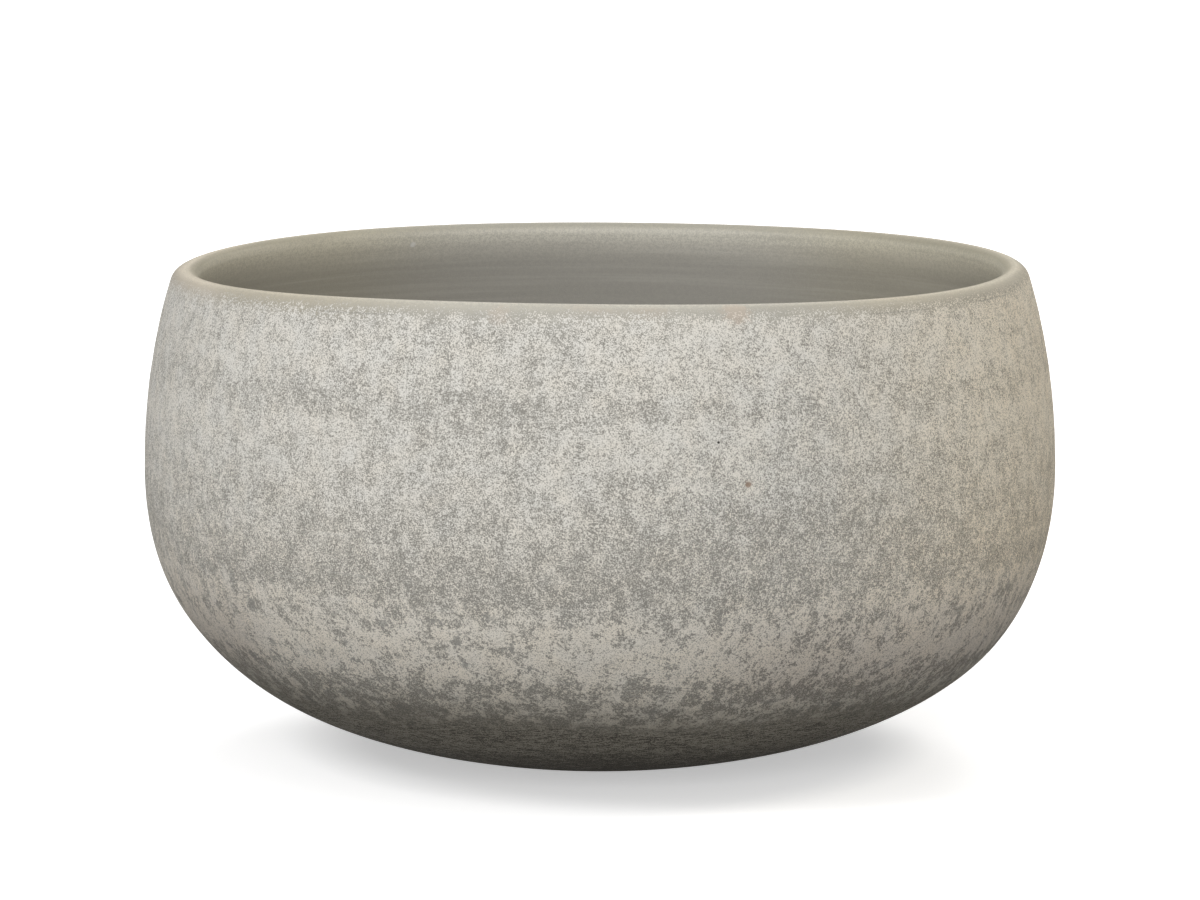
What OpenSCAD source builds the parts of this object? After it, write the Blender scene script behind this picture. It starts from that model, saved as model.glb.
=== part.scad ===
// Bowl planter: a wide, thick-walled bowl on a turned foot, with a rubber stopper in its
// drain hole and four floor pads under the foot ring.
// Millimetres. +Z is up, and the origin is on the floor under the middle of the bowl.

/* [Body] */
// Diameter at the belly, where the bowl is widest
bowl_d = 400; // [340:2:460]
// Height from the foot to the top of the rim
bowl_h = 216; // [190:1:240]
// Height of the belly's widest line above the foot
belly_h = 125.5; // [110:0.5:140]
// Radius of the arc that leans the shoulder in, between the belly and the rim
shoulder_r = 307; // [240:1:400]
// Length over which the wall still runs down from the belly, as the pull of the lower curve
belly_pull = 87; // [70:1:100]
// Length over which the base still runs out from the foot, as the pull of the lower curve
base_pull = 68; // [50:1:85]
// Rise of the base where it leaves the foot, in degrees
base_rise = 10; // [5:0.5:15]

/* [Wall] */
// Wall thickness from the rim to the belly
wall_t = 11.5; // [10:0.5:16]
// Wall thickness where the base reaches the foot
base_wall_t = 13; // [11:0.5:18]
// Height of the flat inside floor above the foot
floor_t = 14; // [12:0.5:20]
// Radius of the rim's outer edge
rim_outer_r = 7; // [4:0.5:9]
// Radius of the rim's inner edge
rim_inner_r = 4.5; // [1:0.5:6]

/* [Foot] */
// Outer diameter of the foot ring
foot_d = 130; // [110:1:160]
// Width of the foot ring
foot_ring_w = 16; // [14:0.5:22]
// Depth of the recess inside the foot ring
foot_recess = 3; // [2:0.5:5]
// Bevel on the foot ring's inner edge
foot_bevel = 1; // [0.5:0.1:1.5]

/* [Drain hole] */
// Diameter of the drain hole
drain_d = 22; // [16:0.5:30]
// Bevel on the drain hole's lower edge
drain_bevel = 1; // [0.5:0.1:2]

/* [Stopper] */
// Clearance round the stopper's sealing lips
stopper_gap = 0.1; // [0.05:0.05:0.3]
// Height of each sealing lip above the stopper's stem
lip_h = 0.7; // [0.4:0.1:1]
// Number of sealing lips
lip_count = 3; // [2:1:4]
// How far the stem's tip stays above the floor's underside
tip_gap = 1; // [0.5:0.5:2]
// Bevel that leads the stem's tip into the hole
tip_bevel = 1.2; // [0.6:0.1:2]
// How far the flange reaches past the drain hole, all round
flange_lap = 6; // [4:0.5:9]
// Thickness of the flange
flange_t = 3.5; // [2.5:0.5:5]
// Diameter of the grip's waist
waist_d = 9; // [7:0.5:11]
// Height of the grip's waist
waist_h = 6; // [4:0.5:9]
// Diameter of the grip's head
head_d = 17; // [14:0.5:22]
// Thickness of the grip's head
head_t = 6; // [5:0.5:9]
// Radius of the stopper's moulded edges
stopper_edge_r = 1; // [0.5:0.1:1.2]

/* [Floor pads] */
// Diameter of a floor pad
pad_d = 12; // [8:0.5:13]
// Thickness of a floor pad, which lifts the foot off the floor
pad_t = 1.5; // [1:0.25:3]
// Radius of a floor pad's lower edge
pad_edge_r = 0.5; // [0.2:0.1:0.8]

/* [Hidden] */
PAD_NODES = ["pad_front_right", "pad_back_right", "pad_back_left", "pad_front_left"];

$fn = 128;
curve_steps = 40;    // straight steps along the lower curve
arc_steps = 12;      // straight steps along the shoulder
edge_steps = 6;      // straight steps round a small edge
past = 1;            // how far a cut runs past the face that it opens

bowl_r = bowl_d / 2;
foot_r = foot_d / 2;
drain_r = drain_d / 2;
pads = len(PAD_NODES);
first_pad_angle = -45;
pad_circle_r = foot_r - foot_ring_w / 2;

// The rim's edges take no more than the wall between them.
rim_in_r = min(rim_inner_r, wall_t - rim_outer_r);

// Points of an arc, as [distance from the axis, height]. Angles run clockwise from straight up,
// so 90 degrees faces away from the axis and 180 degrees faces down.
function facing(angle) = [sin(angle), cos(angle)];
function arc(centre, r, from, to, steps) =
    [for (i = [0 : steps]) centre + r * facing(from + (to - from) * i / steps)];

// The shoulder is one arc that stands upright at the belly.
shoulder_centre = [bowl_r - shoulder_r, belly_h];

// The centre of a rim edge of radius r that touches the shoulder face of radius face_r from
// inside the wall (side = -1) or the inner face from inside the wall (side = 1).
function rim_centre(face_r, r, side) =
    let (reach = face_r + side * r)
    let (rise = bowl_h - r - belly_h)
    shoulder_centre + [sqrt(reach * reach - rise * rise), rise];

outer_edge_centre = rim_centre(shoulder_r, rim_outer_r, -1);
inner_edge_centre = rim_centre(shoulder_r - wall_t, rim_in_r, 1);

// The direction in which a point lies from the shoulder's centre.
function shoulder_angle(p) =
    atan2(p[0] - shoulder_centre[0], p[1] - shoulder_centre[1]);

// The lower body is one cubic curve, upright at the belly and nearly level at the foot.
belly_point = [bowl_r, belly_h];
foot_point = [foot_r, 0];
belly_handle = belly_point - [0, belly_pull];
foot_handle = foot_point + base_pull * [cos(base_rise), sin(base_rise)];

function blend(a, b, t) = a + (b - a) * t;
function lower_point(t) =
    pow(1 - t, 3) * belly_point
    + 3 * pow(1 - t, 2) * t * belly_handle
    + 3 * (1 - t) * pow(t, 2) * foot_handle
    + pow(t, 3) * foot_point;
function lower_run(t) =
    pow(1 - t, 2) * (belly_handle - belly_point)
    + 2 * (1 - t) * t * (foot_handle - belly_handle)
    + pow(t, 2) * (foot_point - foot_handle);
function lower_normal(t) =
    let (run = lower_run(t))
    [-run[1], run[0]] / norm(run);

// The inside follows the lower curve, and the wall thickens evenly towards the foot.
function lower_inside(t) =
    lower_point(t) - blend(wall_t, base_wall_t, t) * lower_normal(t);

steps_down = [for (i = [0 : curve_steps]) i / curve_steps];

// The outside of the bowl, filled to the axis.
outside = concat(
    [[0, bowl_h]],
    arc(outer_edge_centre, rim_outer_r, 0, shoulder_angle(outer_edge_centre), edge_steps),
    arc(shoulder_centre, shoulder_r, shoulder_angle(outer_edge_centre), 90, arc_steps),
    [for (t = steps_down) if (t > 0) lower_point(t)],
    [[0, 0]]
);

// The space inside, open at the top. It runs on below the floor, where the floor cuts it off.
space_foot = [lower_inside(1)[0], min(lower_inside(1)[1], floor_t) - past];
space_top = bowl_h + past;
inside = concat(
    [[0, space_top], [inner_edge_centre[0], space_top]],
    arc(inner_edge_centre, rim_in_r, 0, shoulder_angle(inner_edge_centre) - 180, edge_steps),
    arc(shoulder_centre, shoulder_r - wall_t, shoulder_angle(inner_edge_centre), 90, arc_steps),
    [for (t = steps_down) if (t > 0) lower_inside(t)],
    [space_foot, [0, space_foot[1]]]
);

module space_inside() {
    intersection() {
        polygon(inside);
        translate([0, floor_t])
            square([bowl_r, bowl_h]);
    }
}

// The recess under the floor, with a bevel where it meets the foot ring.
recess_r = foot_r - foot_ring_w;

module recess() {
    polygon([
        [0, -past],
        [recess_r + foot_bevel + past, -past],
        [recess_r, foot_bevel],
        [recess_r, foot_recess],
        [0, foot_recess]
    ]);
}

// The drain hole, with a bevel where it leaves the floor's underside.
module drain() {
    polygon([
        [0, 0],
        [drain_r + drain_bevel, 0],
        [drain_r + drain_bevel, foot_recess],
        [drain_r, foot_recess + drain_bevel],
        [drain_r, floor_t + past],
        [0, floor_t + past]
    ]);
}

module bowl() {
    color([0.71, 0.69, 0.64])
        translate([0, 0, pad_t])
            rotate_extrude()
                difference() {
                    polygon(outside);
                    space_inside();
                    recess();
                    drain();
                }
}

// The stopper is set from inside: its stem fills the drain hole, its flange lies on the floor,
// and its waisted grip is what fingers pull.
lip_r = drain_r - stopper_gap;
stem_r = lip_r - lip_h;
stem_foot = foot_recess + tip_gap;
flange_r = drain_r + flange_lap;
flange_top = floor_t + flange_t;
head_bottom = flange_top + waist_h;
head_top = head_bottom + head_t;
waist_r = waist_d / 2;
head_r = head_d / 2;
head_edge_r = head_t / 2;

// A quarter round on an outer edge whose corner is at the given point, from one facing to the next.
function round_edge(corner, r, from) =
    arc(corner - r * (facing(from) + facing(from + 90)), r, from, from + 90, edge_steps);

// A quarter fillet in an inner corner at the given point.
function fill_edge(corner, r, from) =
    arc(corner + r * (facing(from) + facing(from - 90)), r, from + 180, from + 90, edge_steps);

// The lips stand round the stem at even steps, clear of the flange and of the bevelled tip.
lip_pitch = (floor_t - stem_foot - tip_bevel) / (lip_count + 1);
function lip(i) = arc([stem_r, floor_t - i * lip_pitch], lip_h, 0, 180, 2 * edge_steps);

stopper_outline = concat(
    [[0, head_top]],
    arc([head_r - head_edge_r, head_bottom + head_edge_r], head_edge_r, 0, 180, 2 * edge_steps),
    fill_edge([waist_r, head_bottom], stopper_edge_r, 180),
    fill_edge([waist_r, flange_top], stopper_edge_r, 90),
    round_edge([flange_r, flange_top], stopper_edge_r, 0),
    [[flange_r, floor_t], [stem_r, floor_t]],
    [for (i = [1 : lip_count]) each lip(i)],
    [[stem_r, stem_foot + tip_bevel], [stem_r - tip_bevel, stem_foot]],
    [[0, stem_foot]]
);

module drain_plug() {
    color([0.16, 0.16, 0.17])
        translate([0, 0, pad_t])
            rotate_extrude()
                polygon(stopper_outline);
}

// A pad lies flat under the middle of the foot ring, with its lower edge rounded.
module floor_pad(i) {
    pad_r = pad_d / 2;
    color([0.30, 0.29, 0.28])
        rotate(first_pad_angle + i * 360 / pads)
            translate([pad_circle_r, 0, 0])
                rotate_extrude()
                    polygon(concat(
                        [[0, pad_t], [pad_r, pad_t]],
                        round_edge([pad_r, 0], pad_edge_r, 90),
                        [[0, 0]]
                    ));
}

bowl();
drain_plug();
for (i = [0 : pads - 1])
    floor_pad(i);
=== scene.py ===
"""A wide bowl planter with a sponged coat, its rubber stopper and floor pads, in a plain studio."""

import logging
import math
from dataclasses import dataclass
from enum import Enum
from functools import cached_property

import bmesh
import bpy
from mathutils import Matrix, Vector, noise


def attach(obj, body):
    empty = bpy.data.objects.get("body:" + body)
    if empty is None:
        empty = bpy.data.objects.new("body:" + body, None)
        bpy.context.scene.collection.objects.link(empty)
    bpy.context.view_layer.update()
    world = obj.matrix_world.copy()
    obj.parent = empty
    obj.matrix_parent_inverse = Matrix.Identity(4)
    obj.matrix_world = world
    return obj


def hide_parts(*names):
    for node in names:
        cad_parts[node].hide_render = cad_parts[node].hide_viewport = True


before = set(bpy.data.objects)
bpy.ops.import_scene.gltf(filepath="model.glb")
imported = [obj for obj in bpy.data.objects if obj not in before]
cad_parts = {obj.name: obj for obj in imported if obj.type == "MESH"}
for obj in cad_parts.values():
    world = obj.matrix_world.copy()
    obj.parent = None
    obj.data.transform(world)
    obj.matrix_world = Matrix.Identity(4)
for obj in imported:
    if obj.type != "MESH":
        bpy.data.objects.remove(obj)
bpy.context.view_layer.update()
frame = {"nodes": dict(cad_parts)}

MM = 0.001
QUARTER = math.pi / 2

log = logging.getLogger("bowl_planter")

Colour = tuple[float, float, float]
Place = tuple[float, float, float]
Pair = tuple[float, float]
Rag = tuple[float, float, float]
Line = tuple[Pair, ...]
Socket = bpy.types.NodeSocket
Feed = Socket | float | Colour

WHITE: Colour = (1.0, 1.0, 1.0)
GREY: Colour = (0.300, 0.288, 0.259)
PALE: Colour = (0.755, 0.735, 0.685)
SPOT: Colour = (0.310, 0.303, 0.280)
BLUSH: Colour = (0.640, 0.470, 0.360)


class Body(Enum):
    """The moving bodies that a new piece rides on."""

    PLANTER = "planter"


class Slot(Enum):
    """The finishes that the record names."""

    COAT = "sponged_coat"
    STOPPER = "stopper_rubber"
    PAD = "pad_rubber"


class Sum(Enum):
    """Kinds of sum that a Math node does."""

    ADD = "ADD"
    TAKE = "SUBTRACT"
    TIMES = "MULTIPLY"
    MOST = "MAXIMUM"


class Blend(Enum):
    """How a Mix node brings in its second colour."""

    MIX = "MIX"
    MULTIPLY = "MULTIPLY"


@dataclass(frozen=True)
class Ease:
    """A soft step: where it begins and ends, and what it gives below and above."""

    low: float
    high: float
    below: float = 0.0
    above: float = 1.0


@dataclass(frozen=True)
class Clouds:
    """Cloudy noise: its largest clouds' width in metres, its finer layers, their strength and its twist."""

    size: float
    detail: float = 1.0
    rough: float = 0.5
    twist: float = 0.0


@dataclass(frozen=True)
class Feel:
    """A surface's touch: what a relief of 1 measures in metres, how much of it is kept, and the gloss."""

    depth: float
    strength: float
    gloss: float


class NodeSheet:
    """The nodes of a material or of the world, with a method for each kind that is used."""

    def __init__(self, owner: bpy.types.Material | bpy.types.World) -> None:
        """Starts with an empty sheet.

        Args:
            owner: The material or world whose nodes these are.
        """
        owner.use_nodes = True
        self.owner = owner
        self.tree = owner.node_tree
        self.tree.nodes.clear()

    @cached_property
    def place(self) -> Socket:
        """The piece's own coordinates, in metres."""
        return self.put("ShaderNodeTexCoord").outputs["Object"]

    @cached_property
    def apart(self) -> bpy.types.Node:
        """A node that gives the piece's own coordinates one by one."""
        node = self.put("ShaderNodeSeparateXYZ")
        self.feed(node.inputs["Vector"], self.place)
        return node

    def put(self, kind: str, **settings: object) -> bpy.types.Node:
        """Adds a node.

        Args:
            kind: Blender's name for the kind of node.
            settings: The node's own properties.

        Returns:
            The new node.
        """
        node = self.tree.nodes.new(kind)
        for name, value in settings.items():
            setattr(node, name, value)
        return node

    def feed(self, socket: Socket, value: Feed) -> None:
        """Gives a socket its value.

        Args:
            socket: The input to fill.
            value: Another node's output, which is linked, or a number or colour, which is set.
        """
        if isinstance(value, bpy.types.NodeSocket):
            self.tree.links.new(value, socket)
        elif isinstance(value, tuple) and len(socket.default_value) == 4:
            socket.default_value = (*value, 1.0)
        else:
            socket.default_value = value

    def stretched(self, scale: Place) -> Socket:
        """The piece's own coordinates, multiplied along X, Y and Z.

        Args:
            scale: The three factors.

        Returns:
            The vector output.
        """
        node = self.put("ShaderNodeMapping")
        self.feed(node.inputs["Vector"], self.place)
        self.feed(node.inputs["Scale"], scale)
        return node.outputs["Vector"]

    def turned(self, run: Socket, draw: float) -> Socket:
        """Coordinates that follow the wall down and are drawn out along its turning.

        Args:
            run: The way down the wall.
            draw: What a length along the turning is multiplied by.

        Returns:
            The vector output.
        """
        joined = self.put("ShaderNodeCombineXYZ")
        for axis in ("X", "Y"):
            self.feed(joined.inputs[axis], self.times(self.apart.outputs[axis], draw))
        self.feed(joined.inputs["Z"], run)
        return joined.outputs["Vector"]

    def noise(self, clouds: Clouds, place: Socket | None = None) -> Socket:
        """Cloudy noise.

        Args:
            clouds: What the noise is like.
            place: Coordinates, if not the piece's own.

        Returns:
            A value round 0.5.
        """
        node = self.put("ShaderNodeTexNoise")
        self.feed(node.inputs["Vector"], place or self.place)
        self.feed(node.inputs["Scale"], 1.0 / clouds.size)
        self.feed(node.inputs["Detail"], clouds.detail)
        self.feed(node.inputs["Roughness"], clouds.rough)
        self.feed(node.inputs["Distortion"], clouds.twist)
        return node.outputs["Fac"]

    def cells(self, size: float) -> tuple[Socket, Socket]:
        """Scattered round cells.

        Args:
            size: Width of a cell, in metres.

        Returns:
            The distance from the cell's middle, in cell widths, and a value of its own for each cell.
        """
        node = self.put("ShaderNodeTexVoronoi", feature="F1")
        self.feed(node.inputs["Vector"], self.place)
        self.feed(node.inputs["Scale"], 1.0 / size)
        split = self.put("ShaderNodeSeparateColor")
        self.feed(split.inputs["Color"], node.outputs["Color"])
        return node.outputs["Distance"], split.outputs["Red"]

    def attribute(self, name: str) -> Socket:
        """The value that the mesh holds under that name."""
        return self.put("ShaderNodeAttribute", attribute_name=name).outputs["Fac"]

    def away_from(self, point: Place) -> Socket:
        """The distance from a point.

        Args:
            point: The point, in the piece's own coordinates.

        Returns:
            The distance, in metres.
        """
        node = self.put("ShaderNodeVectorMath", operation="DISTANCE")
        self.feed(node.inputs[0], self.place)
        self.feed(node.inputs[1], point)
        return node.outputs["Value"]

    def sum(self, kind: Sum, a: Feed, b: Feed) -> Socket:
        """A sum of two values.

        Args:
            kind: The sum.
            a: The first value.
            b: The second value.

        Returns:
            The result.
        """
        node = self.put("ShaderNodeMath", operation=kind.value)
        self.feed(node.inputs[0], a)
        self.feed(node.inputs[1], b)
        return node.outputs["Value"]

    def times(self, a: Feed, b: Feed) -> Socket:
        """The product of two values."""
        return self.sum(Sum.TIMES, a, b)

    def total(self, *values: Feed) -> Socket:
        """The sum of several values.

        Args:
            values: Two or more values.

        Returns:
            Their total.
        """
        result = values[0]
        for value in values[1:]:
            result = self.sum(Sum.ADD, result, value)
        return result

    def spread(self, value: Socket, share: float = 1.0, middle: float = 0.5) -> Socket:
        """How far a value lies from its middle, times share."""
        return self.times(self.sum(Sum.TAKE, value, middle), share)

    def step(self, value: Socket, low: Feed, high: Feed, below: float = 0.0, above: float = 1.0) -> Socket:
        """A soft step.

        Args:
            value: What is read.
            low: Where the step begins.
            high: Where it ends.
            below: The result below low.
            above: The result above high.

        Returns:
            The result.
        """
        node = self.put("ShaderNodeMapRange", interpolation_type="SMOOTHSTEP")
        sockets = ("Value", "From Min", "From Max", "To Min", "To Max")
        for socket, fed in zip(sockets, (value, low, high, below, above)):
            self.feed(node.inputs[socket], fed)
        return node.outputs["Result"]

    def ease(self, value: Socket, ease: Ease) -> Socket:
        """A soft step of a value, at the limits that are given."""
        return self.step(value, ease.low, ease.high, ease.below, ease.above)

    def graded(self, lift: Socket, pair: Pair) -> Socket:
        """A number that goes softly from the first of the pair to the second while lift goes from 0 to 1."""
        return self.step(lift, 0.0, 1.0, *pair)

    def curve(self, value: Socket, points: Line) -> Socket:
        """A value read off a smooth line.

        Args:
            value: What is read.
            points: The line's points, each (value, result), from 0 up, with results from 0 to 1.

        Returns:
            The result.
        """
        node = self.put("ShaderNodeFloatCurve")
        line, span = node.mapping.curves[0], points[-1][0]
        while len(line.points) > 2:
            line.points.remove(line.points[1])
        line.points[0].location = (points[0][0] / span, points[0][1])
        line.points[1].location = (points[-1][0] / span, points[-1][1])
        for at, result in points[1:-1]:
            line.points.new(at / span, result)
        node.mapping.update()
        self.feed(node.inputs["Value"], self.times(value, 1.0 / span))
        return node.outputs["Value"]

    def mix(self, share: Feed, first: Feed, second: Feed, blend: Blend = Blend.MIX) -> Socket:
        """A colour between two.

        Args:
            share: 0 for the first, 1 for the second.
            first: The first colour.
            second: The second colour.
            blend: How the second colour comes in.

        Returns:
            The mixed colour.
        """
        node = self.put("ShaderNodeMix", data_type="RGBA", blend_type=blend.value)
        self.feed(node.inputs[0], share)
        self.feed(node.inputs[6], first)
        self.feed(node.inputs[7], second)
        return node.outputs[2]

    def ramp(self, value: Socket, stops: tuple[tuple[float, Colour], ...]) -> Socket:
        """A colour read off a row of stops.

        Args:
            value: What is read.
            stops: Values in rising order, each with its colour.

        Returns:
            The colour.
        """
        node = self.put("ShaderNodeValToRGB")
        row, low, high = node.color_ramp.elements, stops[0][0], stops[-1][0]
        row[0].position, row[0].color = 0.0, (*stops[0][1], 1.0)
        row[1].position, row[1].color = 1.0, (*stops[-1][1], 1.0)
        for at, colour in stops[1:-1]:
            row.new((at - low) / (high - low)).color = (*colour, 1.0)
        self.feed(node.inputs["Fac"], self.spread(value, 1.0 / (high - low), low))
        return node.outputs["Color"]

    def seen(self) -> Socket:
        """1 where the camera sees the surface straight or mirrored, and 0 for the light it sends on."""
        light = self.put("ShaderNodeLightPath")
        return self.sum(Sum.MOST, light.outputs["Is Camera Ray"], light.outputs["Is Glossy Ray"])

    def coloured(self, kind: str, colour: Colour) -> bpy.types.Node:
        """Adds a node and sets its colour.

        Args:
            kind: Blender's name for the kind of node.
            colour: The colour.

        Returns:
            The new node.
        """
        node = self.put(kind)
        self.feed(node.inputs["Color"], colour)
        return node

    def chosen(self, share: Socket, first: Socket, second: Socket) -> Socket:
        """A shader between two.

        Args:
            share: 0 for the first, 1 for the second.
            first: The first shader.
            second: The second shader.

        Returns:
            The mixed shader.
        """
        node = self.put("ShaderNodeMixShader")
        for socket, fed in zip(node.inputs, (share, first, second)):
            self.feed(socket, fed)
        return node.outputs["Shader"]

    def show(self, shader: Socket, output: str = "ShaderNodeOutputMaterial") -> None:
        """Makes a shader the one that is seen."""
        self.feed(self.put(output).inputs["Surface"], shader)

    def finish(self, colour: Socket, rough: Socket, relief: Socket, feel: Feel) -> bpy.types.Material:
        """Joins the finished values to a shader.

        Args:
            colour: Base colour.
            rough: Roughness.
            relief: Height of the surface, from 0 to 1.
            feel: The depth of the relief, and the gloss.

        Returns:
            The material.
        """
        bump = self.put("ShaderNodeBump")
        self.feed(bump.inputs["Distance"], feel.depth)
        self.feed(bump.inputs["Strength"], feel.strength)
        self.feed(bump.inputs["Height"], relief)
        shader = self.put("ShaderNodeBsdfPrincipled")
        self.feed(shader.inputs["Specular IOR Level"], feel.gloss)
        self.feed(shader.inputs["Base Color"], colour)
        self.feed(shader.inputs["Roughness"], rough)
        self.feed(shader.inputs["Normal"], bump.outputs["Normal"])
        self.show(shader.outputs["BSDF"])
        return self.owner


@dataclass(frozen=True)
class Patterns:
    """What the layers of the coat read, with lengths in metres and noises that lie round 0.5.

    run is the way down from the rim's crest, above zero outside and below zero inside. lift is 0 on the
    lower body and 1 on the upper. flank is the square of the way from the middle to either side. bands
    are coordinates for noise that is drawn out along the turning. turning is 1 in the patches where the
    marks of turning show.
    """

    run: Socket
    height: Socket
    across: Socket
    flank: Socket
    lift: Socket
    bands: Socket
    drift: Socket
    cloud: Socket
    dab: Socket
    speck: Socket
    grain: Socket
    rings: Socket
    turning: Socket

    def ragged(self, sheet: NodeSheet, value: Socket, rag: Rag) -> Socket:
        """A value pushed up and down by dabs, specks and grain, so that a step in it gets a ragged edge."""
        pushes = (sheet.spread(one, share) for one, share in zip((self.dab, self.speck, self.grain), rag))
        return sheet.total(value, *pushes)


@dataclass(frozen=True)
class Sponging:
    """Pale dabs of a sponge over grey, with more pale on the upper left and right flanks as painted light. A
    Pair is a number on the lower body and on the upper.
    """

    cream: Colour = (0.810, 0.752, 0.655)
    cover: Line = (
        (0.000, 0.36), (0.044, 0.43), (0.053, 0.42), (0.060, 0.50), (0.067, 0.67),
        (0.074, 0.66), (0.083, 0.58), (0.092, 0.54), (0.101, 0.38), (0.112, 0.41),
        (0.125, 0.45), (0.138, 0.50), (0.155, 0.58), (0.165, 0.62), (0.175, 0.49),
        (0.185, 0.57), (0.200, 0.60), (0.209, 0.55), (0.2165, 0.30),
    )
    # Painted light: more pale on the upper left and right flanks.
    painted_light_flanks: Ease = Ease(0.012, 0.036, 0.0, 0.10)
    drift_share: float = 0.22
    cloud_share: float = 0.24
    dab_share: Pair = (1.50, 0.90)
    speck_share: Pair = (1.05, 0.80)
    patch_low: Pair = (0.30, -0.06)
    patch_high: Pair = (0.70, 1.06)
    contrast: Pair = (0.90, 1.15)
    stipple: Pair = (2.35, 2.20)
    middle: float = 0.5
    creamy: Ease = Ease(70.0 * MM, 150.0 * MM, 0.80, 0.18)
    creamy_drift: float = 0.3
    creamy_cloud: Clouds = Clouds(11.0 * MM)
    creamy_cloud_share: float = 1.1
    spot_cell: float = 11.0 * MM
    spot_rag: Rag = (0.6, 0.5, 0.25)
    spot_edge: Ease = Ease(0.14, 0.28, 1.0, 0.0)
    spot_choice: Ease = Ease(0.35, 0.60)
    spot_strength: Pair = (0.75, 0.12)

    def share(self, sheet: NodeSheet, at: Patterns) -> Socket:
        """How much of the pale colour lies on the grey.

        Args:
            sheet: The nodes.
            at: The patterns.

        Returns:
            The share, round 0.5 and past 0 and 1 where the sponge left much or little.
        """
        cover = sheet.total(
            sheet.curve(at.height, self.cover),
            # Painted light: more pale on the upper left and right flanks.
            sheet.times(at.lift, sheet.ease(at.flank, self.painted_light_flanks)),
            sheet.spread(at.drift, self.drift_share),
            sheet.spread(at.cloud, self.cloud_share),
            sheet.times(sheet.spread(at.dab), sheet.graded(at.lift, self.dab_share)),
            sheet.times(sheet.spread(at.speck), sheet.graded(at.lift, self.speck_share)),
        )
        low, high = sheet.graded(at.lift, self.patch_low), sheet.graded(at.lift, self.patch_high)
        return sheet.total(
            sheet.times(sheet.spread(sheet.step(cover, low, high)), sheet.graded(at.lift, self.contrast)),
            sheet.times(sheet.spread(at.grain), sheet.graded(at.lift, self.stipple)),
            self.middle,
        )

    def colour(self, sheet: NodeSheet, at: Patterns, share: Socket) -> Socket:
        """The sponged colour, with its larger grey spots.

        Args:
            sheet: The nodes.
            at: The patterns.
            share: How much of the pale colour lies on the grey.

        Returns:
            The colour.
        """
        creamy = sheet.total(
            sheet.ease(at.height, self.creamy),
            sheet.spread(at.drift, self.creamy_drift),
            sheet.spread(sheet.noise(self.creamy_cloud), self.creamy_cloud_share),
        )
        coat = sheet.mix(share, GREY, sheet.mix(creamy, PALE, self.cream))
        away, own = sheet.cells(self.spot_cell)
        edge = at.ragged(sheet, away, self.spot_rag)
        spots = sheet.times(sheet.ease(edge, self.spot_edge), sheet.ease(own, self.spot_choice))
        return sheet.mix(sheet.times(spots, sheet.graded(at.lift, self.spot_strength)), coat, SPOT)


@dataclass(frozen=True)
class TurningMarks:
    """What the turning left in the coat: patches of fine lines, and a groove a little below the rim."""

    line: Clouds = Clouds(0.9 * MM)
    line_draw: float = 0.018
    light_lines: Ease = Ease(0.60, 0.70, 0.0, 0.22)
    dark_lines: Ease = Ease(0.30, 0.40, 0.22, 0.0)
    groove_run: float = 9.6 * MM
    groove_width: float = 0.35 * MM
    groove_edge: Ease = Ease(0.2, 1.0, 1.0, 0.0)

    def over(self, sheet: NodeSheet, at: Patterns, coat: Socket) -> Socket:
        """Draws the lines over the coat.

        Args:
            sheet: The nodes.
            at: The patterns.
            coat: The coat's colour.

        Returns:
            The colour with its lines.
        """
        lines = sheet.noise(self.line, sheet.turned(at.run, self.line_draw))
        light = sheet.times(sheet.ease(lines, self.light_lines), at.turning)
        dark = sheet.times(sheet.ease(lines, self.dark_lines), at.turning)
        return sheet.mix(dark, sheet.mix(light, coat, PALE), GREY)

    def groove(self, sheet: NodeSheet, at: Patterns) -> Socket:
        """Where the groove lies: up to 1 in it and 0 elsewhere."""
        away = sheet.spread(at.run, 1.0 / self.groove_width, self.groove_run)
        return sheet.times(sheet.ease(sheet.times(away, away), self.groove_edge), at.turning)


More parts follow.
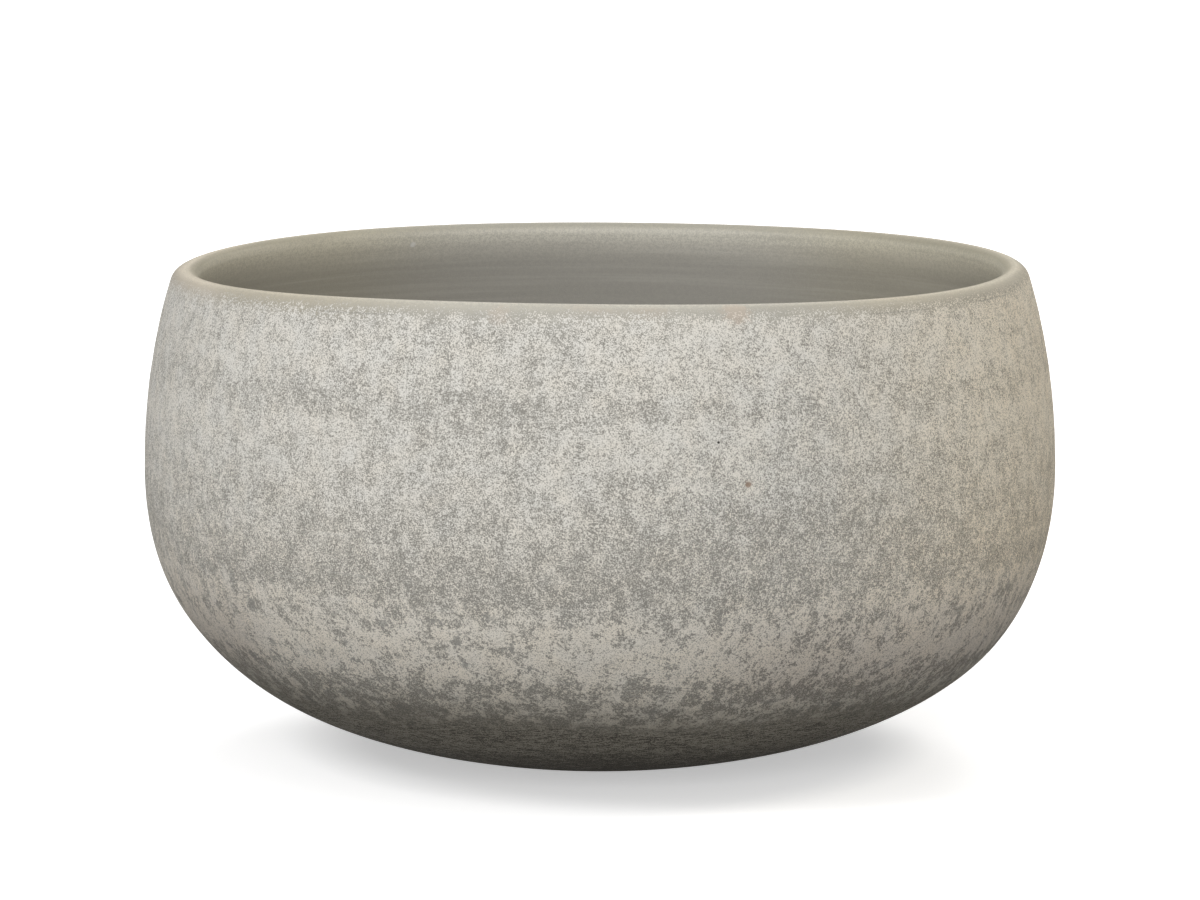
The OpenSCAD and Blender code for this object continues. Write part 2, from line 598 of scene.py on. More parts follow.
@dataclass(frozen=True)
class DarkBaseAndShade:
    """A darker lower body, partly the base's own tone and partly painted shade; painted shade that climbs
    higher at the left and right sides and darkens the streaks towards the foot; and streaks where the coat
    has worn off.
    """

    # Darker lower body: partly the base's own tone, partly painted shade under the body.
    base_tone_and_shade: Colour = (0.500, 0.487, 0.460)
    # Painted shade on the lower left and right sides.
    painted_side_shade: Colour = (0.81, 0.79, 0.785)
    dark: Colour = (0.078, 0.070, 0.057)
    light: Colour = (0.345, 0.320, 0.268)
    base_tone_and_shade_curve: Line = (
        (0.000, 1.00), (0.034, 1.00), (0.040, 0.84), (0.045, 0.62), (0.050, 0.42),
        (0.055, 0.24), (0.060, 0.07), (0.065, 0.00), (0.2165, 0.00),
    )
    worn: Line = (
        (0.000, 1.00), (0.022, 1.00), (0.030, 0.82), (0.036, 0.56),
        (0.042, 0.22), (0.048, 0.06), (0.054, 0.00), (0.2165, 0.00),
    )
    dab_reach: float = 14.0 * MM
    cloud_reach: float = 10.0 * MM
    right_side: Ease = Ease(20.0 * MM, 90.0 * MM)
    left_side: Ease = Ease(-155.0 * MM, -130.0 * MM, 0.9, 0.0)
    sides_from: Ease = Ease(40.0 * MM, 58.0 * MM)
    sides_to: Ease = Ease(60.0 * MM, 105.0 * MM, 1.0, 0.0)
    streak: Clouds = Clouds(0.9 * MM, 2.0, 0.65)
    streak_draw: float = 0.20
    streak_grain: float = 0.65
    swathe: Clouds = Clouds(9.0 * MM)
    swathe_draw: float = 0.45
    swathe_share: float = 0.25
    foot_shade: Ease = Ease(8.0 * MM, 27.0 * MM, -0.16, 0.0)
    light_streaks: Ease = Ease(0.40, 0.60)
    worn_rag: Rag = (0.6, 0.9, 0.7)
    worn_edge: Ease = Ease(0.36, 0.64)

    def side_shade_share(self, sheet: NodeSheet, at: Patterns) -> Socket:
        """How much painted shade the lower left and right sides get.

        Args:
            sheet: The nodes.
            at: The patterns.

        Returns:
            The share, from 0 to 1.
        """
        right, left = sheet.ease(at.across, self.right_side), sheet.ease(at.across, self.left_side)
        low = sheet.times(sheet.ease(at.height, self.sides_from), sheet.ease(at.height, self.sides_to))
        return sheet.times(sheet.sum(Sum.MOST, right, left), low)

    def base(self, sheet: NodeSheet, at: Patterns) -> Socket:
        """The streaked colour of the base.

        Args:
            sheet: The nodes.
            at: The patterns.

        Returns:
            The colour.
        """
        swathes = sheet.noise(self.swathe, sheet.turned(at.run, self.swathe_draw))
        streaks = sheet.total(
            sheet.noise(self.streak, sheet.turned(at.run, self.streak_draw)),
            sheet.spread(at.grain, self.streak_grain),
            sheet.spread(swathes, self.swathe_share),
            sheet.ease(at.height, self.foot_shade),
        )
        return sheet.mix(sheet.ease(streaks, self.light_streaks), self.dark, self.light)

    def over(self, sheet: NodeSheet, at: Patterns, coat: Socket) -> Socket:
        """Smokes and wears the coat.

        Args:
            sheet: The nodes.
            at: The patterns.
            coat: The coat's colour.

        Returns:
            The colour.
        """
        uneven = (sheet.spread(at.dab, self.dab_reach), sheet.spread(at.cloud, self.cloud_reach))
        height = sheet.total(at.height, *uneven)
        # Darker towards the bottom: partly the base's own tone, partly painted shade.
        coat = sheet.mix(sheet.curve(height, self.base_tone_and_shade_curve), coat, self.base_tone_and_shade, Blend.MULTIPLY)
        # Painted shade on the lower left and right sides.
        coat = sheet.mix(self.side_shade_share(sheet, at), coat, self.painted_side_shade, Blend.MULTIPLY)
        worn = at.ragged(sheet, sheet.curve(height, self.worn), self.worn_rag)
        return sheet.mix(sheet.ease(worn, self.worn_edge), coat, self.base(sheet, at))


@dataclass(frozen=True)
class PaintedWarmLight:
    """Painted warm light: the warmer tone of the right side's upper body."""

    tint: Colour = (1.12, 1.050, 0.93)
    right: Ease = Ease(70.0 * MM, 200.0 * MM)
    up: Ease = Ease(55.0 * MM, 115.0 * MM)

    def over(self, sheet: NodeSheet, at: Patterns, coat: Socket) -> Socket:
        """Warms the coat's colour, as painted warm light on the right side."""
        share = sheet.times(sheet.ease(at.across, self.right), sheet.ease(at.height, self.up))
        return sheet.mix(share, coat, self.tint, Blend.MULTIPLY)


@dataclass(frozen=True)
class SmoothTaupe:
    """The smooth taupe of the rim and the inside, with dust, turning rings and a blush of the clay, and with
    painted light and shade.
    """

    # The taupe's own tone with painted light and shade along the way from the rim: painted highlights on the
    # upper inside wall and on the crest, painted shade deeper inside and at the inner edge.
    stops: tuple[tuple[float, Colour], ...] = (
        (-28.0 * MM, (0.375, 0.360, 0.326)),
        (-22.0 * MM, (0.395, 0.379, 0.343)),
        (-14.0 * MM, (0.530, 0.508, 0.452)),
        (-9.0 * MM, (0.680, 0.655, 0.575)),
        (-6.0 * MM, (0.600, 0.573, 0.495)),
        (-3.5 * MM, (0.430, 0.408, 0.338)),
        (-1.5 * MM, (0.435, 0.412, 0.342)),
        (0.5 * MM, (0.650, 0.620, 0.535)),
        (4.0 * MM, (0.500, 0.476, 0.410)),
        (8.0 * MM, (0.425, 0.407, 0.358)),
    )
    wander: float = 3.0 * MM
    near_rim: Ease = Ease(-6.0 * MM, 2.0 * MM)
    blush_cloud: Clouds = Clouds(15.0 * MM, 2.0)
    blushed: Ease = Ease(0.60, 0.76, 0.0, 0.15)
    dust_speck: float = 0.8
    dust_cloud: float = 0.5
    dusty: Ease = Ease(0.2, 0.8, 0.0, 0.42)
    light_rings: Ease = Ease(0.45, 0.75, 0.0, 0.10)
    dark_rings: Ease = Ease(0.25, 0.55, 0.12, 0.0)
    # Painted shade: the inside and the rim darker and warmer towards the left and right.
    inner_side_shade: Colour = (0.955, 0.935, 0.865)
    rim_side_shade: Colour = (0.97, 0.935, 0.870)
    shaded_sides: Ease = Ease(0.002, 0.016)
    # Painted light: the rim's left end lighter.
    left_end_light: Colour = (1.13, 1.11, 1.13)
    lit_left_end: Ease = Ease(-168.0 * MM, -154.0 * MM, 1.0, 0.0)

    def colour(self, sheet: NodeSheet, at: Patterns) -> Socket:
        """The taupe's colour, with painted light and shade.

        Args:
            sheet: The nodes.
            at: The patterns.

        Returns:
            The colour.
        """
        rim = sheet.ease(at.run, self.near_rim)
        # Painted highlights and painted shade along the way from the rim.
        colour = sheet.ramp(sheet.total(at.run, sheet.spread(at.cloud, self.wander)), self.stops)
        blush = sheet.ease(sheet.noise(self.blush_cloud, at.bands), self.blushed)
        colour = sheet.mix(sheet.times(blush, rim), colour, BLUSH)
        specks, clouds = sheet.spread(at.speck, self.dust_speck), sheet.spread(at.cloud, self.dust_cloud)
        colour = sheet.mix(sheet.ease(sheet.total(at.grain, specks, clouds), self.dusty), colour, SPOT)
        colour = sheet.mix(sheet.ease(at.rings, self.light_rings), colour, PALE)
        colour = sheet.mix(sheet.ease(at.rings, self.dark_rings), colour, SPOT)
        # Painted shade on the left and right sides of the inside and the rim.
        tint = sheet.mix(rim, self.inner_side_shade, self.rim_side_shade)
        colour = sheet.mix(sheet.ease(at.flank, self.shaded_sides), colour, tint, Blend.MULTIPLY)
        # Painted light on the rim's left end.
        lit_left_end = sheet.times(rim, sheet.ease(at.across, self.lit_left_end))
        return sheet.mix(lit_left_end, colour, self.left_end_light, Blend.MULTIPLY)


@dataclass(frozen=True)
class Mark:
    """A small mark left in the firing, with a full core and a softer reach in shares of its radius."""

    place: Place
    radius: float
    colour: Colour
    strength: float
    core: float = 0.5
    reach: float = 1.2

    def over(self, sheet: NodeSheet, at: Patterns, colour: Socket) -> Socket:
        """Lays the mark over a colour.

        Args:
            sheet: The nodes.
            at: The patterns.
            colour: The colour.

        Returns:
            The marked colour.
        """
        away = sheet.total(sheet.away_from(self.place), sheet.spread(at.speck, self.radius))
        share = sheet.step(away, self.core * self.radius, self.reach * self.radius, self.strength, 0.0)
        return sheet.mix(share, colour, self.colour)


@dataclass(frozen=True)
class BareClay:
    """The uncoated clay under the foot."""

    clay: Colour = (0.420, 0.235, 0.140)
    dusty: Colour = (0.500, 0.330, 0.225)
    dust_cloud: float = 0.8
    dust: Ease = Ease(0.3, 0.7)
    dab_reach: float = 0.10
    edge: Ease = Ease(0.36, 0.44)

    def over(self, sheet: NodeSheet, at: Patterns, colour: Socket) -> Socket:
        """Bares the underside.

        Args:
            sheet: The nodes.
            at: The patterns.
            colour: The colour of the rest.

        Returns:
            The colour.
        """
        dust = sheet.ease(sheet.total(at.speck, sheet.spread(at.cloud, self.dust_cloud)), self.dust)
        bare = sheet.ease(sheet.total(at.run, sheet.spread(at.dab, self.dab_reach)), self.edge)
        return sheet.mix(bare, colour, sheet.mix(dust, self.clay, self.dusty))


@dataclass(frozen=True)
class SpongedCoat:
    """A matt coat: sponged outside, smooth taupe on the rim and inside, bare clay under the foot."""

    sponging: Sponging = Sponging()
    turning: TurningMarks = TurningMarks()
    base: DarkBaseAndShade = DarkBaseAndShade()
    painted_warm_light: PaintedWarmLight = PaintedWarmLight()
    taupe: SmoothTaupe = SmoothTaupe()
    foot: BareClay = BareClay()
    marks: tuple[Mark, ...] = (
        Mark((0.0603, -0.1900, 0.1446), 1.75 * MM, (0.270, 0.180, 0.125), 0.80),
        Mark((0.0480, -0.1919, 0.1620), 0.58 * MM, (0.050, 0.045, 0.040), 1.0),
        Mark((0.0555, -0.1785, 0.2141), 6.5 * MM, BLUSH, 0.25),
        Mark((-0.0410, -0.1815, 0.2125), 5.0 * MM, BLUSH, 0.14),
        Mark((-0.0874, 0.1539, 0.2082), 1.5 * MM, (0.720, 0.715, 0.700), 0.55),
    )
    grain: Clouds = Clouds(0.52 * MM, 0.0)
    grain_cells: float = 0.35
    speck: Clouds = Clouds(1.6 * MM)
    dab: Clouds = Clouds(6.0 * MM, 2.0, 0.55, 0.3)
    dab_stretch: Place = (1.0, 1.0, 0.75)
    cloud: Clouds = Clouds(20.0 * MM)
    drift: Clouds = Clouds(50.0 * MM)
    band_draw: float = 0.28
    ring: Clouds = Clouds(2.4 * MM, 2.0, 0.6)
    ring_draw: float = 0.02
    turning_patch: Clouds = Clouds(50.0 * MM)
    turning_shows: Ease = Ease(0.46, 0.62)
    upper_body: Ease = Ease(70.0 * MM, 115.0 * MM)
    edge_rag: Rag = (3.0 * MM, 6.0 * MM, 12.0 * MM)
    edge: Ease = Ease(6.0 * MM, 11.8 * MM)
    groove_shade: float = 0.35
    ring_relief: float = 0.20
    dab_relief: float = 0.50
    grain_relief: float = 0.30
    groove_relief: float = -0.80
    roughness: Ease = Ease(0.0, 1.0, 0.84, 0.95)
    feel: Feel = Feel(0.20 * MM, 0.7, 0.12)

    def patterns(self, sheet: NodeSheet) -> Patterns:
        """Makes what the layers read.

        Args:
            sheet: The nodes.

        Returns:
            The patterns.
        """
        run, across, height = sheet.attribute("run"), sheet.apart.outputs["X"], sheet.apart.outputs["Z"]
        bands = sheet.turned(run, self.band_draw)
        own = sheet.cells(self.grain.size)[1]
        return Patterns(
            run=run,
            height=height,
            across=across,
            flank=sheet.times(across, across),
            lift=sheet.ease(height, self.upper_body),
            bands=bands,
            drift=sheet.noise(self.drift, bands),
            cloud=sheet.noise(self.cloud, bands),
            dab=sheet.noise(self.dab, sheet.stretched(self.dab_stretch)),
            speck=sheet.noise(self.speck),
            grain=sheet.total(sheet.noise(self.grain), sheet.spread(own, self.grain_cells)),
            rings=sheet.noise(self.ring, sheet.turned(run, self.ring_draw)),
            turning=sheet.ease(sheet.noise(self.turning_patch), self.turning_shows),
        )

    def material(self) -> bpy.types.Material:
        """Makes the coat's material.

        Returns:
            The material, which reads the mesh's "run": the way down from the rim's crest, in metres,
            above zero outside and below zero inside.
        """
        sheet = NodeSheet(bpy.data.materials.new(Slot.COAT.value))
        at = self.patterns(sheet)
        dabbed = self.sponging.share(sheet, at)
        coat = self.sponging.colour(sheet, at, dabbed)
        # The base layer darkens the lower body partly with painted shade, and the warm layer paints warm
        # light on the right side.
        for layer in (self.turning, self.base, self.painted_warm_light):
            coat = layer.over(sheet, at, coat)
        coated = sheet.ease(at.ragged(sheet, at.run, self.edge_rag), self.edge)
        colour = sheet.mix(coated, self.taupe.colour(sheet, at), coat)
        for mark in self.marks:
            colour = mark.over(sheet, at, colour)
        groove = self.turning.groove(sheet, at)
        colour = sheet.mix(sheet.times(groove, self.groove_shade), colour, SPOT)
        colour = self.foot.over(sheet, at, colour)
        relief = sheet.total(
            sheet.times(at.rings, self.ring_relief),
            sheet.times(sheet.times(dabbed, coated), self.dab_relief),
            sheet.times(at.grain, self.grain_relief),
            sheet.times(groove, self.groove_relief),
        )
        return sheet.finish(colour, sheet.ease(dabbed, self.roughness), relief, self.feel)


@dataclass(frozen=True)
class MouldedRubber:
    """Matt moulded rubber with a faint dusty bloom."""

    slot: Slot
    colour: Colour
    bloom: Colour
    grain: Clouds = Clouds(0.6 * MM, 2.0, 0.6)
    dust: Clouds = Clouds(9.0 * MM, 4.0, 0.6)
    dusty: Ease = Ease(0.40, 0.75, 0.0, 0.6)
    roughness: Ease = Ease(0.3, 0.7, 0.55, 0.75)
    feel: Feel = Feel(0.05 * MM, 0.6, 0.35)

    def material(self) -> bpy.types.Material:
        """Makes the rubber's material.

        Returns:
            The material.
        """
        sheet = NodeSheet(bpy.data.materials.new(self.slot.value))
        dust = sheet.noise(self.dust)
        colour = sheet.mix(sheet.ease(dust, self.dusty), self.colour, self.bloom)
        return sheet.finish(colour, sheet.ease(dust, self.roughness), sheet.noise(self.grain), self.feel)


def finish_mesh(bm: bmesh.types.BMesh, name: str, crease: float) -> bpy.types.Object:
    """Turns a bmesh into an object at the origin, smooth but for its creases.

    Args:
        bm: The shape, which is freed.
        name: The object's name.
        crease: Edges that bend by more than this angle stay sharp.

    Returns:
        The object.
    """
    for face in bm.faces:
        face.smooth = True
    for edge in bm.edges:
        edge.smooth = edge.calc_face_angle(0.0) < crease
    mesh = bpy.data.meshes.new(name)
    bm.to_mesh(mesh)
    bm.free()
    piece = bpy.data.objects.new(name, mesh)
    bpy.context.scene.collection.objects.link(piece)
    return piece


@dataclass(frozen=True)
class HandWork:
    """The marks of making: turning ridges, an uneven wall and rim, and a body that leans a little.

    Each wave of the rim is (how many waves go round, their height, the angle of a crest from the front).
    """

    ridge_pitch: float = 9.0 * MM
    ridge_row: float = 3.0
    ridge_wander: float = 0.6
    swell: float = 55.0 * MM
    dent: float = 12.0 * MM
    outer_wear: float = 0.06 * MM
    outer_ridge: float = 0.10 * MM
    outer_swell: float = 0.10 * MM
    outer_dent: float = 0.06 * MM
    inner_ridge: float = 0.16 * MM
    inner_swell: float = 0.15 * MM
    rim_fade: float = 12.0 * MM
    foot_margin: float = 1.0 * MM
    foot_fade: float = 10.0 * MM
    rim_mean_sink: float = 1.73 * MM
    rim_waves: tuple[tuple[int, float, float], ...] = (
        (1, 0.21 * MM, math.radians(104.0)),
        (2, 0.88 * MM, math.radians(-20.0)),
        (3, 0.80 * MM, math.radians(-40.0)),
    )
    lean: float = 1.55 * MM
    lean_height: float = 42.0 * MM
    lean_reach: float = 28.0 * MM

    def depth(self, way: float, place: Vector, angle: float) -> float:
        """How far the wall is worked in at a point.

        Args:
            way: The way run from the rim, above zero outside and below zero inside.
            place: The point.
            angle: Its direction, round from the right.

        Returns:
            The depth, in metres.
        """
        turn = angle / (2 * math.pi)
        row = Vector((way / self.ridge_pitch + turn, self.ridge_row, self.ridge_wander * math.sin(angle)))
        ridge, swell = noise.noise(row), noise.noise(place / self.swell)
        fade = min(1.0, abs(way) / self.rim_fade)
        if way <= 0.0:
            return fade * (self.inner_ridge * ridge + self.inner_swell * swell)
        dent = self.outer_dent * noise.noise(place / self.dent)
        return fade * max(0.0, self.outer_wear + self.outer_ridge * ridge + self.outer_swell * swell + dent)

    def rim_sink(self, angle: float) -> float:
        """How far the uneven rim lies below its full height, in a direction round from the right."""
        rises = (rise * math.cos(waves * (angle + QUARTER) - crest) for waves, rise, crest in self.rim_waves)
        return self.rim_mean_sink - sum(rises)

    def leaning(self, height: float, above_margin: float) -> float:
        """How far the body leans to the right, in metres, with the foot's margin left in place."""
        share = math.exp(-(((height - self.lean_height) / self.lean_reach) ** 2))
        return self.lean * share * min(1.0, above_margin / self.foot_fade)


@dataclass(frozen=True)
class SectionPoint:
    """A point of the bowl's section: its distance from the axis, its height and the way from the rim."""

    r: float
    z: float
    run: float


@dataclass
class Bowl:
    """The fired bowl: one wall from the rim down to the foot, turned round the axis.

    Points of its lines are (distance from the axis, height above the foot). The way from the rim is that
    of underside and of inside_floor where a point lies on neither face of the wall.
    """

    width: float = 400.0 * MM
    foot_to_rim: float = 216.0 * MM
    belly_height: float = 125.5 * MM
    shoulder_radius: float = 307.0 * MM
    belly_pull: float = 87.0 * MM
    base_pull: float = 68.0 * MM
    base_rise: float = math.radians(10.0)
    wall: float = 11.5 * MM
    base_wall: float = 13.0 * MM
    floor: float = 14.0 * MM
    outer_edge: float = 7.0 * MM
    inner_edge: float = 4.5 * MM
    foot_width: float = 130.0 * MM
    ring_width: float = 16.0 * MM
    recess: float = 3.0 * MM
    foot_bevel: float = 1.0 * MM
    drain_width: float = 22.0 * MM
    drain_bevel: float = 1.0 * MM
    pad: float = 1.5 * MM
    hand: HandWork = HandWork()
    underside: float = 1.0
    inside_floor: float = -1.0
    wall_limit: float = 0.5
    segments: int = 360
    outer_step: float = 2.2 * MM
    inner_step: float = 3.2 * MM
    floor_step: float = 4.8 * MM
    outer_curve: float = 195.0 * MM
    inner_curve: float = 180.0 * MM
    outer_edge_steps: int = 9
    inner_edge_steps: int = 7
    floor_slack: float = 0.2 * MM
    weld: float = 0.01 * MM
    crease: float = math.radians(28.0)

    def facing(self, angle: float) -> Vector:
        """A length of 1 in a direction, where 0 is up and a quarter turn points away from the axis."""
        return Vector((math.sin(angle), math.cos(angle)))

    def arc(self, centre: Vector, radius: float, start: float, end: float, steps: int) -> list[Vector]:
        """steps + 1 points along an arc, from the direction start to the direction end."""
        turns = [start + (end - start) * i / steps for i in range(steps + 1)]
        return [centre + radius * self.facing(turn) for turn in turns]

    def lower_curve(self, steps: int, inside: bool) -> list[Vector]:
        """Points down the lower body, from the belly to the foot.

        Args:
            steps: How many steps the curve takes.
            inside: True for the inside of the wall.

        Returns:
            steps + 1 points.
        """
        belly = Vector((self.width / 2, self.belly_height))
        foot = Vector((self.foot_width / 2, 0.0))
        first = belly - Vector((0.0, self.belly_pull))
        second = foot + self.base_pull * Vector((math.cos(self.base_rise), math.sin(self.base_rise)))
        found = []
        for i in range(steps + 1):
            t = i / steps
            u = 1.0 - t
            point = u**3 * belly + 3 * u * u * t * first + 3 * u * t * t * second + t**3 * foot
            way = u * u * (first - belly) + 2 * u * t * (second - first) + t * t * (foot - second)
            if inside:
                thick = self.wall + (self.base_wall - self.wall) * t
                point = point - thick * Vector((-way.y, way.x)).normalized()
            found.append(point)
        return found

    def shoulder_centre(self) -> Vector:
        """The centre of the arc that leans the shoulder in."""
        return Vector((self.width / 2 - self.shoulder_radius, self.belly_height))

    def edge_centre(self, face: float, radius: float, side: int) -> Vector:
        """The centre of one of the rim's rounded edges.

        Args:
            face: Radius of the shoulder face that the edge meets.
            radius: The edge's radius.
            side: -1 for the outer edge and 1 for the inner one.

        Returns:
            The centre.
        """
        reach = face + side * radius
        rise = self.foot_to_rim - radius - self.belly_height
        return self.shoulder_centre() + Vector((math.sqrt(reach * reach - rise * rise), rise))

    def outer_line(self) -> list[Vector]:
        """The outside.

        Returns:
            Points from the rim's crest to the foot's outer edge.
        """
        face, middle = self.shoulder_radius, self.shoulder_centre()
        centre = self.edge_centre(face, self.outer_edge, -1)
        lean = math.atan2(*(centre - middle))
        steps = round(face * (QUARTER - lean) / self.outer_step)
        return (
            self.arc(centre, self.outer_edge, 0.0, lean, self.outer_edge_steps)
            + self.arc(middle, face, lean, QUARTER, steps)[1:]
            + self.lower_curve(round(self.outer_curve / self.outer_step), False)[1:]
        )

    def under_line(self) -> list[Vector]:
        """The underside.

        Returns:
            Points from the foot ring's inner bevel in to the drain hole, and up it to the inside floor.
        """
        ring = self.foot_width / 2 - self.ring_width
        hole = self.drain_width / 2
        turns = [
            (ring + self.foot_bevel, 0.0),
            (ring, self.foot_bevel),
            (ring, self.recess),
            (hole + self.drain_bevel, self.recess),
            (hole, self.recess + self.drain_bevel),
            (hole, self.floor),
        ]
        return [Vector(turn) for turn in turns]

    def inner_line(self) -> list[Vector]:
        """The inside.

        Returns:
            Points from the edge of the inside floor up to the rim's crest.
        """
        face, middle = self.shoulder_radius - self.wall, self.shoulder_centre()
        centre = self.edge_centre(face, self.inner_edge, 1)
        lean = math.atan2(*(centre - middle))
        lower = self.lower_curve(round(self.inner_curve / self.inner_step), True)
        above = [p for p in lower if p.y > self.floor + self.floor_slack]
        below = lower[len(above)]
        corner = below.lerp(above[-1], (self.floor - below.y) / (above[-1].y - below.y))
        steps = round(face * (QUARTER - lean) / self.inner_step)
        return (
            [corner]
            + above[::-1]
            + self.arc(middle, face, QUARTER, lean, steps)[1:]
            + self.arc(centre, self.inner_edge, lean - math.pi, 0.0, self.inner_edge_steps)[1:]
        )

    def measured(self, line: list[Vector], run: float) -> list[SectionPoint]:
        """Points of the section, with the way from the rim measured along them.

        Args:
            line: The points.
            run: The way at the first of them.

        Returns:
            The section's points, above the floor.
        """
        found, last = [], line[0]
        for point in line:
            run += (point - last).length
            last = point
            found.append(SectionPoint(point.x, point.y + self.pad, run))
        return found

    def section(self) -> list[SectionPoint]:
        """The closed section.

        Returns:
            Its points above the floor, down the outside, across the foot and floor and up the inside.
        """
        outer, under, inner = self.outer_line(), self.under_line(), self.inner_line()
        hole, corner = under[-1], inner[0]
        rings = round((corner.x - hole.x) / self.floor_step)
        floor = [hole.lerp(corner, i / rings) for i in range(rings)]
        length = sum((b - a).length for a, b in zip(inner, inner[1:]))
        return (
            self.measured(outer, 0.0)
            + [SectionPoint(p.x, p.y + self.pad, self.underside) for p in under[:-1]]
            + [SectionPoint(p.x, p.y + self.pad, self.inside_floor) for p in floor]
            + self.measured(inner, -length)
        )

    def build(self) -> bpy.types.Object:
        """Turns the section round the axis.

        Returns:
            The bowl's object.
        """
        bm = bmesh.new()
        run = bm.verts.layers.float.new("run")
        verts = []
        for point in self.section():
            vert = bm.verts.new((point.r, 0.0, point.z))
            vert[run] = point.run
            verts.append(vert)
        edges = [bm.edges.new((a, b)) for a, b in zip(verts, verts[1:] + verts[:1])]
        bmesh.ops.spin(
            bm,
            geom=verts + edges,
            cent=(0.0, 0.0, 0.0),
            axis=(0.0, 0.0, 1.0),
            angle=2 * math.pi,
            steps=self.segments,
            use_merge=True,
            use_duplicate=False,
        )
        bmesh.ops.remove_doubles(bm, verts=bm.verts, dist=self.weld)
        self.work_by_hand(bm, run)
        bmesh.ops.recalc_face_normals(bm, faces=bm.faces)
        return finish_mesh(bm, "bowl_body", self.crease)

    def work_by_hand(self, bm: bmesh.types.BMesh, run: bmesh.types.BMLayerItem) -> None:
        """Leaves the marks of making on both faces of the wall.

        Args:
            bm: The bowl's mesh.
            run: Where the mesh holds the way from the rim.
        """
        margin = self.pad + self.hand.foot_margin
        crest = self.foot_to_rim + self.pad
        for vert in bm.verts:
            way, height = vert[run], vert.co.z
            if abs(way) >= self.wall_limit or height < margin:
                continue
            angle = math.atan2(vert.co.y, vert.co.x)
            out = Vector((math.cos(angle), math.sin(angle), 0.0))
            upper = max(0.0, (height - self.belly_height) / (crest - self.belly_height))
            vert.co -= out * self.hand.depth(way, vert.co, angle)
            vert.co.z -= self.hand.rim_sink(angle) * upper * upper
            vert.co.x += self.hand.leaning(height, height - margin)

    def dress(self, piece: bpy.types.Object, coat: SpongedCoat) -> None:
        """Gives the bowl its finish and its place among the bodies.

        Args:
            piece: The bowl's object.
            coat: Its finish.
        """
        piece.data.materials.append(coat.material())
        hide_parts("bowl")
        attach(piece, Body.PLANTER.value)
        log.info("bowl: %d faces", len(piece.data.polygons))


@dataclass
class RubberParts:
    """Solids of one rubber, which keep their shape from the frame."""

    nodes: tuple[str, ...]
    rubber: MouldedRubber

    def dress(self, solids: dict[str, bpy.types.Object]) -> None:
        """Gives the solids their rubber.

        Args:
            solids: The frame's objects by node.
        """
        material = self.rubber.material()
        for node in self.nodes:
            solids[node].data.materials.clear()
            solids[node].data.materials.append(material)
            log.info("%s: %s", node, material.name)


@dataclass
class Stopper(RubberParts):
    """The stopper in the drain hole."""

    nodes: tuple[str, ...] = ("drain_plug",)
    rubber: MouldedRubber = MouldedRubber(Slot.STOPPER, (0.030, 0.030, 0.032), (0.075, 0.073, 0.070))


@dataclass
class FloorPads(RubberParts):
    """The four pads under the foot ring."""

    nodes: tuple[str, ...] = ("pad_front_right", "pad_back_right", "pad_back_left", "pad_front_left")
    rubber: MouldedRubber = MouldedRubber(
        Slot.PAD, (0.080, 0.075, 0.070), (0.130, 0.122, 0.112), Clouds(0.4 * MM, 2.0, 0.6)
    )


@dataclass(frozen=True)
class Softbox:
    """A large square soft lamp, which faces the middle of the bowl."""

    name: str
    place: Place
    power: float
    tint: Colour = WHITE
    side: float = 1.6
    aim: Place = (0.0, 0.0, 0.1)

    def build(self) -> None:
        """Hangs the lamp."""
        lamp = bpy.data.lights.new(self.name, "AREA")
        lamp.shape, lamp.size, lamp.energy, lamp.color = "SQUARE", self.side, self.power, self.tint
        holder = bpy.data.objects.new(self.name, lamp)
        holder.location = self.place
        way = Vector(self.aim) - Vector(self.place)
        holder.rotation_euler = way.to_track_quat("-Z", "Y").to_euler()
        bpy.context.scene.collection.objects.link(holder)
        log.info("%s: %.0f W", self.name, self.power)


@dataclass(frozen=True)
class Sweep:
    """A floor that bends up into a wall: white to the camera, with the bowl's shadow on it."""

    half_width: float = 6.0
    front: float = 6.0
    bend_from: float = 2.0
    bend_radius: float = 1.5
    bend_steps: int = 24
    wall: float = 4.0
    colour: Colour = (0.26, 0.26, 0.26)
    glow: float = 0.45

    def build(self) -> None:
        """Lays the floor and its wall."""
        bm = bmesh.new()
        left = -self.half_width
        front, back = (bm.verts.new((left, y, 0.0)) for y in (-self.front, self.bend_from))
        bm.edges.new((front, back))
        bend = bmesh.ops.spin(
            bm,
            geom=[back],
            cent=(left, self.bend_from, self.bend_radius),
            axis=(1.0, 0.0, 0.0),
            angle=QUARTER,
            steps=self.bend_steps,
        )
        top = [v for v in bend["geom_last"] if isinstance(v, bmesh.types.BMVert)]
        rise = bmesh.ops.extrude_vert_indiv(bm, verts=top)["verts"]
        bmesh.ops.translate(bm, verts=rise, vec=(0.0, 0.0, self.wall))
        wide = bmesh.ops.extrude_edge_only(bm, edges=list(bm.edges))["geom"]
        right = [v for v in wide if isinstance(v, bmesh.types.BMVert)]
        bmesh.ops.translate(bm, verts=right, vec=(2 * self.half_width, 0.0, 0.0))
        floor = finish_mesh(bm, "studio_floor", math.pi)
        floor.data.materials.append(self.material())
        log.info("floor: %d faces", len(floor.data.polygons))

    def material(self) -> bpy.types.Material:
        """Makes the floor's material.

        Returns:
            The material, a dull grey to the light that it sends on.
        """
        sheet = NodeSheet(bpy.data.materials.new("pale_floor"))
        dull = sheet.coloured("ShaderNodeBsdfDiffuse", self.colour)
        white = sheet.coloured("ShaderNodeBsdfDiffuse", WHITE)
        glow = sheet.put("ShaderNodeEmission")
        sheet.feed(glow.inputs["Strength"], self.glow)
        bright = sheet.put("ShaderNodeAddShader")
        sheet.feed(bright.inputs[0], white.outputs["BSDF"])
        sheet.feed(bright.inputs[1], glow.outputs["Emission"])
        sheet.show(sheet.chosen(sheet.seen(), dull.outputs["BSDF"], bright.outputs["Shader"]))
        return sheet.owner


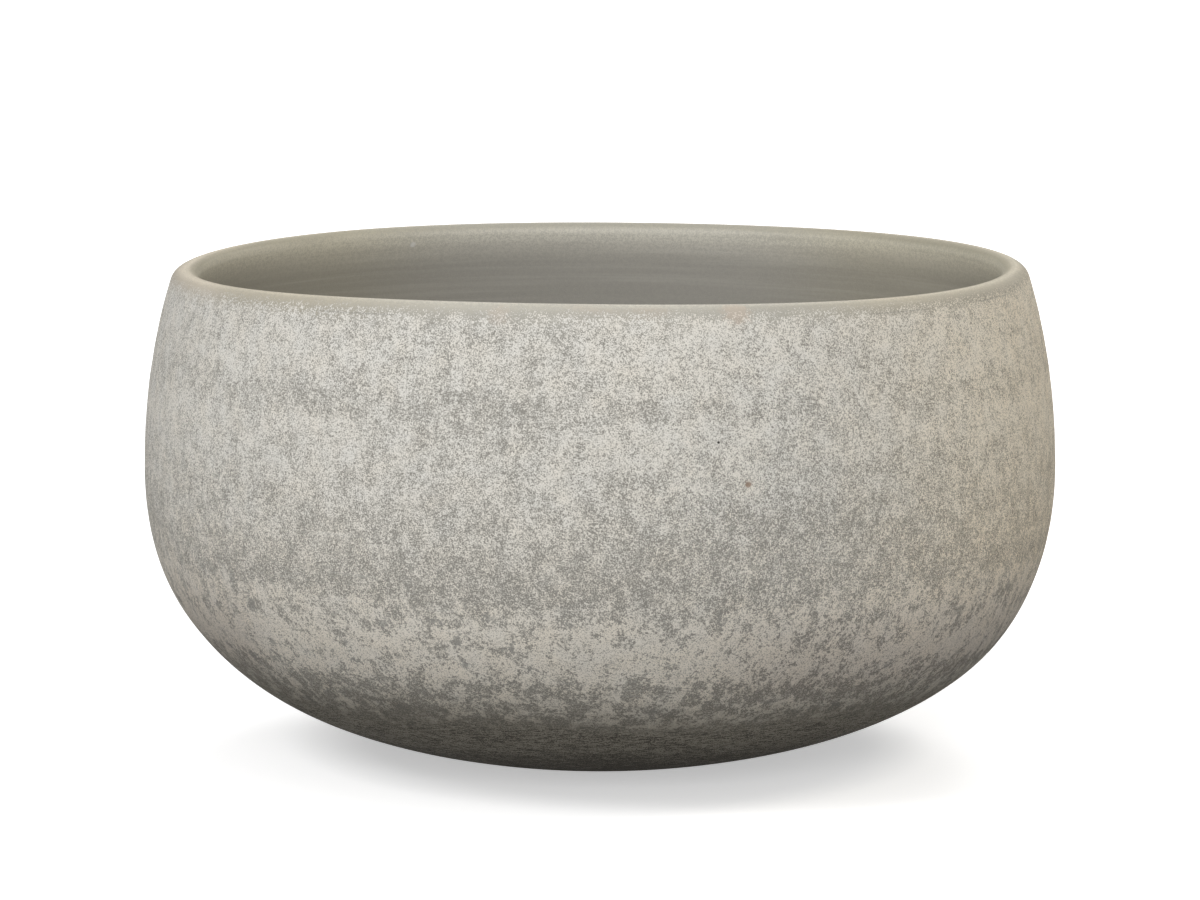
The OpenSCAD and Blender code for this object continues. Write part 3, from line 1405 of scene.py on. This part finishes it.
@dataclass
class Studio:
    """The floor, an even room, soft lamps and the camera."""

    sweep: Sweep = Sweep()
    room_light: float = 0.44
    lamps: tuple[Softbox, ...] = (
        Softbox("key_softbox", (-2.8, -1.8, 2.8), 65.0),
        Softbox("front_softbox", (0.0, -3.7, 1.10), 54.0),
        Softbox("fill_softbox", (3.2, -0.8, 3.8), 45.0, (1.0, 0.95, 0.86)),
        Softbox("back_softbox", (0.9, 2.9, 2.3), 50.0),
    )
    lens: float = 165.012
    sensor: float = 36.0
    clip: Pair = (0.1, 50.0)
    camera_height: float = 462.35 * MM
    camera_distance: float = 2400.0 * MM
    look_down: float = 0.136524

    def build_room(self) -> None:
        """Lights the room evenly, with a background that the camera sees as white."""
        world = bpy.data.worlds.new("studio_room")
        bpy.context.scene.world = world
        sheet = NodeSheet(world)
        even = sheet.coloured("ShaderNodeBackground", WHITE)
        sheet.feed(even.inputs["Strength"], self.room_light)
        white = sheet.coloured("ShaderNodeBackground", WHITE)
        shader = sheet.chosen(sheet.seen(), even.outputs["Background"], white.outputs["Background"])
        sheet.show(shader, "ShaderNodeOutputWorld")

    def build_camera(self) -> None:
        """Sets up the camera at the photograph's viewing angle."""
        data = bpy.data.cameras.new("view_camera")
        data.lens, data.sensor_width = self.lens, self.sensor
        data.clip_start, data.clip_end = self.clip
        holder = bpy.data.objects.new("view_camera", data)
        holder.location = (0.0, -self.camera_distance, self.camera_height)
        holder.rotation_euler = (QUARTER - self.look_down, 0.0, 0.0)
        bpy.context.scene.collection.objects.link(holder)
        bpy.context.scene.camera = holder

    def build(self) -> None:
        """Builds the whole studio."""
        self.sweep.build()
        self.build_room()
        for lamp in self.lamps:
            lamp.build()
        self.build_camera()
        bpy.context.scene.view_settings.view_transform = "Standard"


def main() -> None:
    """Builds and dresses each piece in order, then the studio."""
    logging.basicConfig(level=logging.INFO, format="%(name)s: %(message)s")
    bowl = Bowl()
    bowl.dress(bowl.build(), SpongedCoat())
    for parts in (Stopper(), FloorPads()):
        parts.dress(frame["nodes"])
    Studio().build()


if __name__ == "__main__":
    main()
